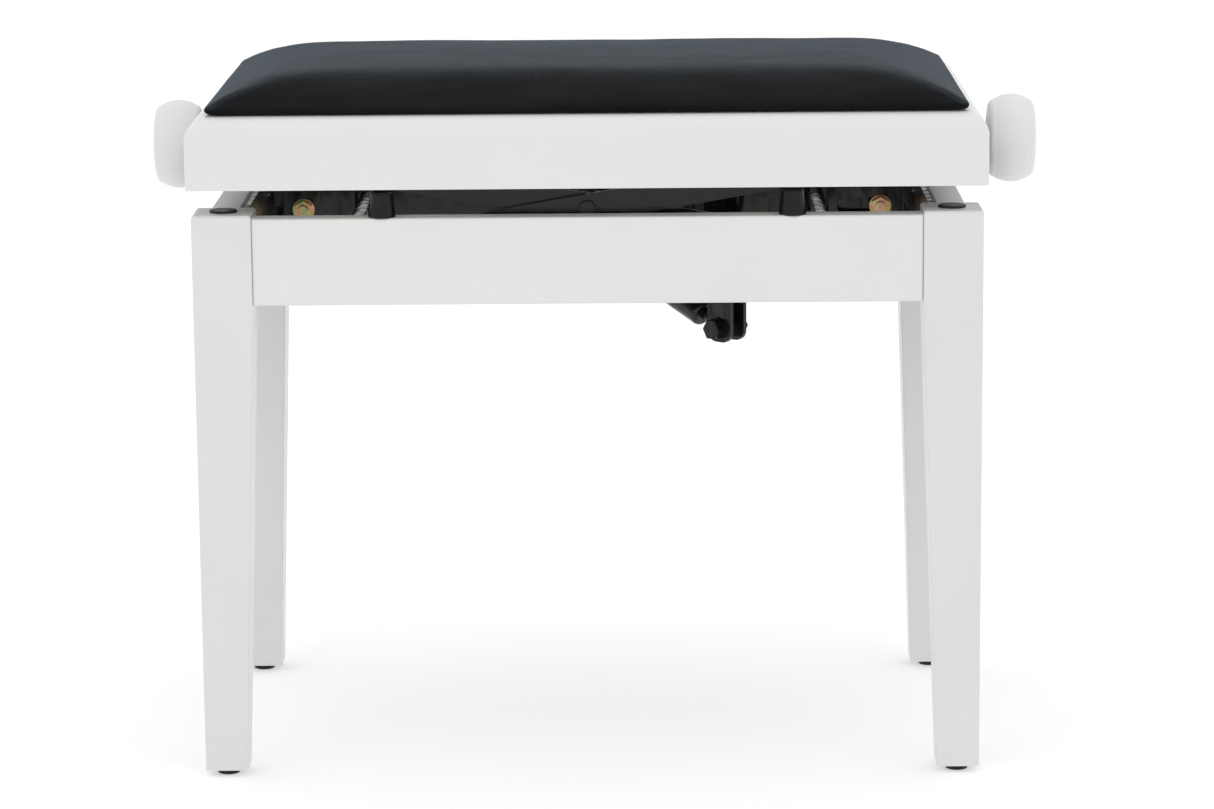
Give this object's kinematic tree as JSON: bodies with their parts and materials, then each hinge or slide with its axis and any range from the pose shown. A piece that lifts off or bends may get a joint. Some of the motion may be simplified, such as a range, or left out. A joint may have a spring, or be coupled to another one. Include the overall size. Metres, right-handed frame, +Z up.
{
  "type": "piano bench",
  "caption": "Height-adjustable piano bench: tapered-leg wooden base, crossed steel arms moved by a spindle with end knobs, framed seat with a padded top.",
  "frame": {"origin": "on the floor, under the middle of the seat frame", "axes": "+X to the sitter's right along the bench, +Y from the front to the back, +Z up"},
  "size_m": [0.6412, 0.332, 0.501],
  "materials": {
    "white_lacquer": "satin white lacquer on solid wood",
    "beech": "bare",
    "plywood": "bare birch ply",
    "black_velour": "short-pile velour",
    "black_plastic": "moulded",
    "gloss_black_plastic": "gloss",
    "black_steel": "gloss black enamel",
    "yellow_zinc": "yellow passivated zinc",
    "bright_steel": "bright drawn steel",
    "brass": "turned",
    "nylon": "natural nylon"
  },
  "bodies": {
    "base": {"leg_front_left": "white_lacquer", "leg_front_right": "white_lacquer", "leg_rear_left": "white_lacquer", "leg_rear_right": "white_lacquer", "apron_front": "white_lacquer", "apron_rear": "white_lacquer", "apron_left": "white_lacquer", "apron_right": "white_lacquer", "apron_dowels": "beech", "foot_glides": "black_plastic", "leg_top_pads": "black_plastic", "bumper_stops": "gloss_black_plastic", "lower_rails": "black_steel", "side_ties": "black_steel", "pivot_brackets_left": "black_steel", "pivot_brackets_right": "black_steel", "fixed_pivot_bolts": "yellow_zinc", "fixed_pivot_spacers": "black_steel", "fixed_pivot_washers": "yellow_zinc", "fixed_pivot_nuts": "yellow_zinc", "frame_screws": "black_steel", "strut_crossbar": "black_steel", "strut_clevis": "black_steel", "strut_bolt": "black_steel", "strut_nut": "black_steel", "strut_washers": "black_steel"},
    "seat": {"seat_rail_front": "white_lacquer", "seat_rail_rear": "white_lacquer", "seat_rail_left": "white_lacquer", "seat_rail_right": "white_lacquer", "seat_board": "plywood", "seat_cushion": "black_velour", "upper_rails": "black_steel", "end_plates": "black_steel", "spindle_bearings": "nylon", "spindle_escutcheons": "black_steel", "seat_screws": "black_steel", "strut_saddle": "black_steel", "strut_saddle_pin": "yellow_zinc"},
    "rising_arm_pair": {"rising_arms": "black_steel", "rising_arm_tie": "black_steel", "centre_bolts": "black_steel", "centre_washers": "black_steel", "centre_nuts": "black_steel"},
    "falling_arm_pair": {"falling_arms": "black_steel", "falling_arm_tie": "black_steel", "slide_pins": "yellow_zinc", "slide_bushes": "nylon", "slide_spacers": "black_steel", "slide_washers": "yellow_zinc", "falling_arm_nuts": "yellow_zinc"},
    "spindle_set": {"spindle": "bright_steel", "knob_left": "white_lacquer", "knob_right": "white_lacquer", "knob_screws": "black_steel", "spindle_collars": "black_steel"},
    "yoke_set": {"yoke": "black_steel", "yoke_nut": "brass"},
    "strut_cylinder": {"strut_tube": "black_steel"},
    "strut_piston": {"strut_rod": "bright_steel"}
  },
  "joints": [
    {"name": "seat_lift", "type": "slide", "parent": "base", "child": "seat", "axis": [0, 0, 1], "range_m": [-0.0032, 0.09]},
    {"name": "rising_arm_pivot", "type": "hinge", "parent": "base", "child": "rising_arm_pair", "pos_m": [-0.21834, 0, 0.366], "axis": [0, -1, 0], "range_deg": [-0.73, 12.36]},
    {"name": "centre_pivot", "type": "hinge", "parent": "rising_arm_pair", "child": "falling_arm_pair", "pos_m": [0, 0, 0.4033], "axis": [0, -1, 0], "range_deg": [-24.71, 1.46]},
    {"name": "spindle_turn", "type": "hinge", "parent": "seat", "child": "spindle_set", "pos_m": [0, 0, 0.4324], "axis": [1, 0, 0], "range_deg": [-105.65, 2835.71]},
    {"name": "yoke_slide", "type": "slide", "parent": "seat", "child": "yoke_set", "axis": [1, 0, 0], "range_m": [-0.02409, 0.00134]},
    {"name": "strut_foot_pivot", "type": "hinge", "parent": "base", "child": "strut_cylinder", "pos_m": [0.0968, -0.075, 0.3074], "axis": [0.682, 0.7314, 0], "range_deg": [-1.02, 17.81]},
    {"name": "strut_extension", "type": "slide", "parent": "strut_cylinder", "child": "strut_piston", "axis": [-0.6752, 0.6296, 0.3843], "range_m": [-0.0022, 0.04549]}
  ],
  "couplings": [
    {"joint": "rising_arm_pivot", "follows": "seat_lift", "rad_per_m": 2.3377},
    {"joint": "centre_pivot", "follows": "seat_lift", "rad_per_m": -4.6754},
    {"joint": "spindle_turn", "follows": "seat_lift", "rad_per_m": 548.95},
    {"joint": "yoke_slide", "follows": "seat_lift", "ratio": -0.2621},
    {"joint": "strut_foot_pivot", "follows": "seat_lift", "rad_per_m": 3.3754},
    {"joint": "strut_extension", "follows": "seat_lift", "ratio": 0.49876}
  ]
}
